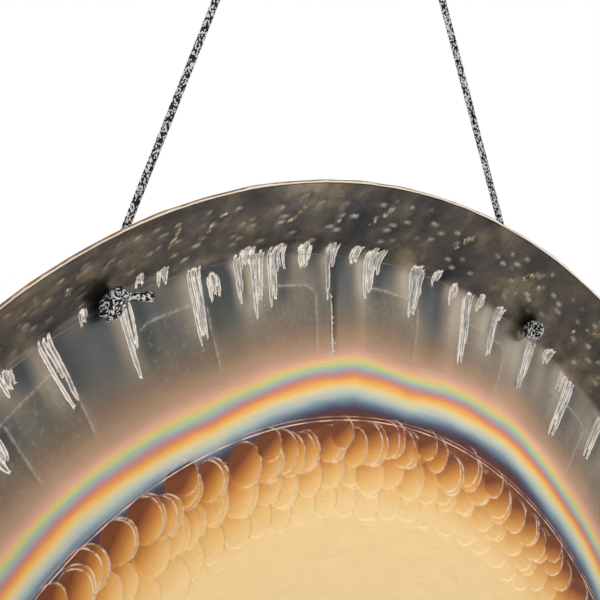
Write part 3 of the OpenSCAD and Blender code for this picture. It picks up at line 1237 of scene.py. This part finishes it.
def sheet_side(wave_seed, fine):
    """One side of the sheet: triangles, 3-D points and relief. The fine side is the hollow one, where all the
    marks are. On the back only the blows and dimples show through."""
    bend_r, end = (BEND_R, FRONT_END) if fine else (BEND_R + SHEET, BACK_END)
    towards = -1 if fine else 1
    blows, dimples = blow_list(), dimple_list()
    marks = mark_list()
    strokes = strokes_of(marks)
    patches = patch_list()

    holes = hole_rings(bend_r)
    fixed = np.vstack([even_ring(RIM_POINTS, end), *holes, even_ring(RIM_POINTS, end - BESIDE_RIM)])
    detail = np.zeros((0, 2))
    if fine:
        detail = np.vstack(blow_rings(blows) + stroke_lines(strokes) + patch_edges(patches))
        detail = clear_of(thin_out(detail, DETAIL_CELL), fixed, CLEAR_OF_EDGE)
    grid = base_grid(FRONT_ZONES if fine else BACK_ZONES, end)
    flat = np.vstack([fixed, detail, clear_of(grid, np.vstack([fixed, detail]), CLEAR_OF_DETAIL)])
    hole_middles = [hole.mean(axis=0) for hole in holes]
    for middle in hole_middles:
        keep = distance(flat, middle) > HOLE_D / 2 - 0.05
        keep[:len(fixed)] = True
        flat = flat[keep]

    relief = Relief(flat, wave_seed)
    deep, rims = (1.0, 1.0) if fine else (0.5, 0.4)
    for middle, size, show, angle in blows:
        relief.strike(middle, size, show * rims, angle, 0.55 * deep * (0.3 + 0.7 * show))
    for *dimple, depth in dimples:
        relief.dimple(*dimple, depth * deep)
    if fine:
        for mark in marks:
            relief.dent(mark)
        for stroke in strokes:
            relief.scrape(stroke)
        for patch in patches:
            relief.patch(*patch)
        relief.brassy_marks()
    relief.calm(end, hole_middles, DEEPEST_FRONT if fine else DEEPEST_BACK)
    triangles = triangulate(flat, hole_middles, towards)
    return triangles, place_on_sheet(flat, relief.height, bend_r, towards), relief


def lip_rings(angle):
    """Rings of points over the rolled, hand-hammered rim, from the hollow side to the back."""
    front, back = profile(FRONT_END, BEND_R), profile(BACK_END, BEND_R + SHEET)
    mid_r, mid_y = (front[0] + back[0]) / 2, (front[1] + back[1]) / 2
    wave = 0.22 * np.sin(37 * angle + 1) * np.sin(5 * angle)
    wave += 0.18 * np.sin(83 * angle) * np.sin(11 * angle + 2)
    rings = []
    for k in range(1, LIP_STEPS):
        turn = math.pi * k / LIP_STEPS
        over, out = -math.cos(turn), math.sin(turn)
        radius = mid_r + LIP_R * (over * math.sin(LEAN) + out * math.cos(LEAN)) + wave * out
        y = mid_y + LIP_R * (over * math.cos(LEAN) - out * math.sin(LEAN)) - wave * out * 0.5
        rings.append(np.stack([radius * np.sin(angle), FACE_Y + y, GONG_Z + radius * np.cos(angle)], axis=1))
    return rings


def make_gong():
    """The gong's sheet: two sides, a rolled rim between them, and the walls of the cord holes."""
    front_faces, front, front_relief = sheet_side(FRONT_SEED, True)
    back_faces, back, back_relief = sheet_side(BACK_SEED, False)
    rim_angle = np.radians(np.arange(RIM_POINTS) * 360 / RIM_POINTS)
    lip = lip_rings(rim_angle)
    first_back, first_lip = len(front), len(front) + len(back)

    rim = np.arange(RIM_POINTS)
    rings = [rim, *(first_lip + k * RIM_POINTS + rim for k in range(len(lip))), first_back + rim]
    quads = [np.stack([a, b, np.roll(b, -1), np.roll(a, -1)], axis=1) for a, b in zip(rings, rings[1:])]
    for k in range(2):
        a = RIM_POINTS + k * HOLE_POINTS + np.arange(HOLE_POINTS)
        b = first_back + a
        quads.append(np.stack([a, np.roll(a, -1), np.roll(b, -1), b], axis=1))
    faces = front_faces.tolist() + (back_faces + first_back).tolist() + np.vstack(quads).tolist()
    mesh = bpy.data.meshes.new("gong_sheet")
    mesh.from_pydata((np.vstack([front, back, *lip]) * MM).tolist(), [], faces)

    def joined(front_values, back_values):
        return np.concatenate([front_values, back_values, np.zeros(len(lip) * RIM_POINTS)])

    # the back's heat ring and rays are the mirror image of the front's
    angles = joined(front_relief.angle, -back_relief.angle)
    angles[first_lip:] = np.degrees(np.tile(rim_angle, len(lip)))
    angles = wrap(angles)
    lip_place = np.repeat(np.arange(1, LIP_STEPS) / LIP_STEPS, RIM_POINTS)
    for name in MARKS:
        add_attribute(mesh, name, joined(front_relief.marks[name], back_relief.marks[name]))
    add_attribute(mesh, "ring_shift", np.interp(angles, *zip(*HEAT_RING)))
    # the tone is partly the oxide's own and partly painted reflection bands, and the reliefs' shade adds
    # painted shade and light beside the dents
    tone = np.interp(angles, *zip(*tone_list())) + joined(front_relief.shade, back_relief.shade)
    add_attribute(mesh, "tone", tone)
    add_attribute(mesh, "lip", np.concatenate([np.zeros(first_lip), lip_place]))
    gong = finish_mesh(mesh, "gong_sheet")
    gong.data.materials.append(bronze_paint())
    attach(gong, "gong")
    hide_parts("gong_disc")


# ---------------------------------------------------------------- hook


def paint_hook():
    """The ceiling hook keeps its CAD shape and gets its steel."""
    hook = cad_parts["ceiling_hook"]
    hook.data.materials.clear()
    hook.data.materials.append(steel_paint())


make_camera()
make_cord()
make_gong()
paint_hook()
make_stage()
